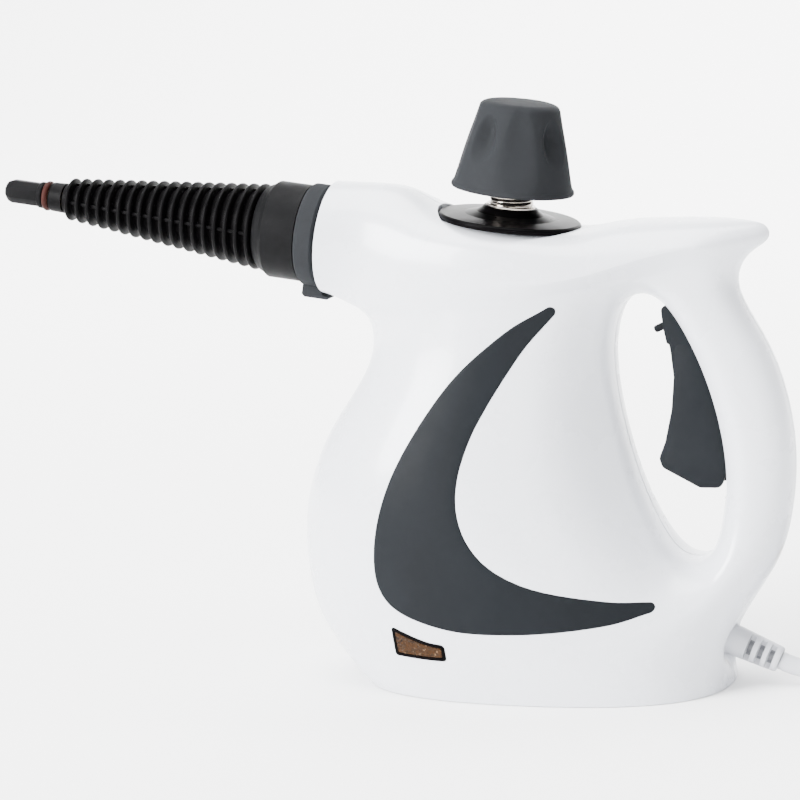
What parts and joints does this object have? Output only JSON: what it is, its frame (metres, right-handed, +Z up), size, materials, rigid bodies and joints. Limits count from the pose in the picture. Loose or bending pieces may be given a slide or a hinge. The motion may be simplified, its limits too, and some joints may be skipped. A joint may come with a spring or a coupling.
{
  "type": "wallpaper steamer",
  "caption": "Hand-held wallpaper steamer: white moulded body with a looped trigger handle, grey screw cap, ribbed black steam nozzle with locking ring and a mains lead.",
  "frame": {"origin": "floor level, under the middle of the box around the steamer without its free cord", "axes": "+Z up, nozzle towards -X, grip towards +X, Y across the body"},
  "size_m": [0.4206, 0.1718, 0.2255],
  "materials": {
    "white_abs": "glossy moulded ABS",
    "dark_grey_abs": "fine satin moulded ABS",
    "mid_grey_abs": "fine satin moulded ABS",
    "black_nylon": "satin moulded nylon",
    "gloss_black_abs": "polished moulded ABS",
    "chrome": "polished chrome plate on brass",
    "brass": "turned",
    "aluminium": "as cast",
    "steel": "zinc plated",
    "red_silicone": "matt",
    "black_rubber": "matt",
    "amber_lens": "polished clear amber",
    "pale_pvc": "satin flexible PVC"
  },
  "bodies": {
    "housing": {"body_shell_left": "white_abs", "body_shell_right": "white_abs", "base_plate": "white_abs", "base_screw_1": "steel", "base_screw_2": "steel", "shell_screw_1": "steel", "shell_screw_2": "steel", "shell_screw_3": "steel", "shell_screw_4": "steel", "crescent_panel_left": "dark_grey_abs", "crescent_panel_right": "dark_grey_abs", "window_bezel": "gloss_black_abs", "indicator_lens": "amber_lens", "indicator_lamp": "amber_lens", "filler_collar": "gloss_black_abs", "filler_neck": "chrome", "boiler_lower": "aluminium", "boiler_gasket": "red_silicone", "boiler_upper": "aluminium", "boiler_bracket": "steel", "boiler_bolt_1": "steel", "boiler_bolt_2": "steel", "boiler_bolt_3": "steel", "boiler_bolt_4": "steel", "heating_element": "steel", "thermostat": "steel", "thermal_fuse": "steel", "terminal_block": "dark_grey_abs", "cord_clamp": "dark_grey_abs", "valve_body": "brass", "valve_spring": "steel", "steam_inlet_pipe": "brass", "steam_outlet_pipe": "brass", "nozzle_socket": "black_nylon", "trigger_pin": "steel", "trigger_bracket": "steel", "trigger_spring": "steel", "strain_relief": "pale_pvc", "cord": "pale_pvc", "cord_coil": "pale_pvc", "coil_tie": "black_rubber", "cord_tail": "pale_pvc", "plug_body": "pale_pvc", "plug_blade_1": "brass", "plug_blade_2": "brass"},
    "lock_ring": {"lock_ring": "mid_grey_abs"},
    "nozzle": {"nozzle_base": "black_nylon", "ribbed_cone": "black_nylon", "nozzle_tube": "brass", "nozzle_collar": "black_nylon", "tip_o_ring": "red_silicone", "nozzle_tip": "dark_grey_abs"},
    "cap_seal": {"cap_seal": "red_silicone"},
    "cap_insert": {"cap_insert": "mid_grey_abs", "cap_spring": "steel"},
    "cap_knob": {"cap_knob": "mid_grey_abs"},
    "trigger": {"trigger": "dark_grey_abs"},
    "trigger_lock": {"trigger_lock": "dark_grey_abs"},
    "valve_plunger": {"valve_plunger": "brass"}
  },
  "joints": [
    {"name": "ring_turn", "type": "hinge", "parent": "housing", "child": "lock_ring", "pos_m": [0, 0, 0.1698], "axis": [-0.9895, 0, 0.1444], "range_deg": [0, 30]},
    {"name": "nozzle_slide", "type": "slide", "parent": "housing", "child": "nozzle", "axis": [-0.9895, 0, 0.1444], "range_m": [0, 0.025]},
    {"name": "cap_lift", "type": "slide", "parent": "housing", "child": "cap_seal", "axis": [0.1444, 0, 0.9895], "range_m": [0, 0.009]},
    {"name": "cap_turn", "type": "hinge", "parent": "cap_seal", "child": "cap_insert", "pos_m": [0.0511, 0, 0.1798], "axis": [0.1444, 0, 0.9895], "range_deg": [0, 1080.5]},
    {"name": "cap_push", "type": "slide", "parent": "cap_insert", "child": "cap_knob", "axis": [0.1444, 0, 0.9895], "range_m": [-0.003, 0], "stiffness_N_per_m": 800, "springref_m": 0.003, "deforming": ["cap_spring"]},
    {"name": "trigger_pull", "type": "hinge", "parent": "housing", "child": "trigger", "pos_m": [0.1215, 0, 0.141], "axis": [0, -1, 0], "range_deg": [0, 6.5], "stiffness_Nm_per_rad": 1.5, "springref_deg": -5.73, "deforming": ["trigger_spring"]},
    {"name": "trigger_lock_slide", "type": "slide", "parent": "trigger", "child": "trigger_lock", "axis": [1, 0, 0], "range_m": [0, 0.0025]},
    {"name": "valve_slide", "type": "slide", "parent": "housing", "child": "valve_plunger", "axis": [-1, 0, 0], "range_m": [0, 0.002], "deforming": ["valve_spring"]}
  ],
  "couplings": [
    {"joint": "cap_turn", "follows": "cap_lift", "rad_per_m": 2094.4},
    {"joint": "valve_slide", "follows": "trigger_pull", "m_per_rad": 0.017}
  ]
}
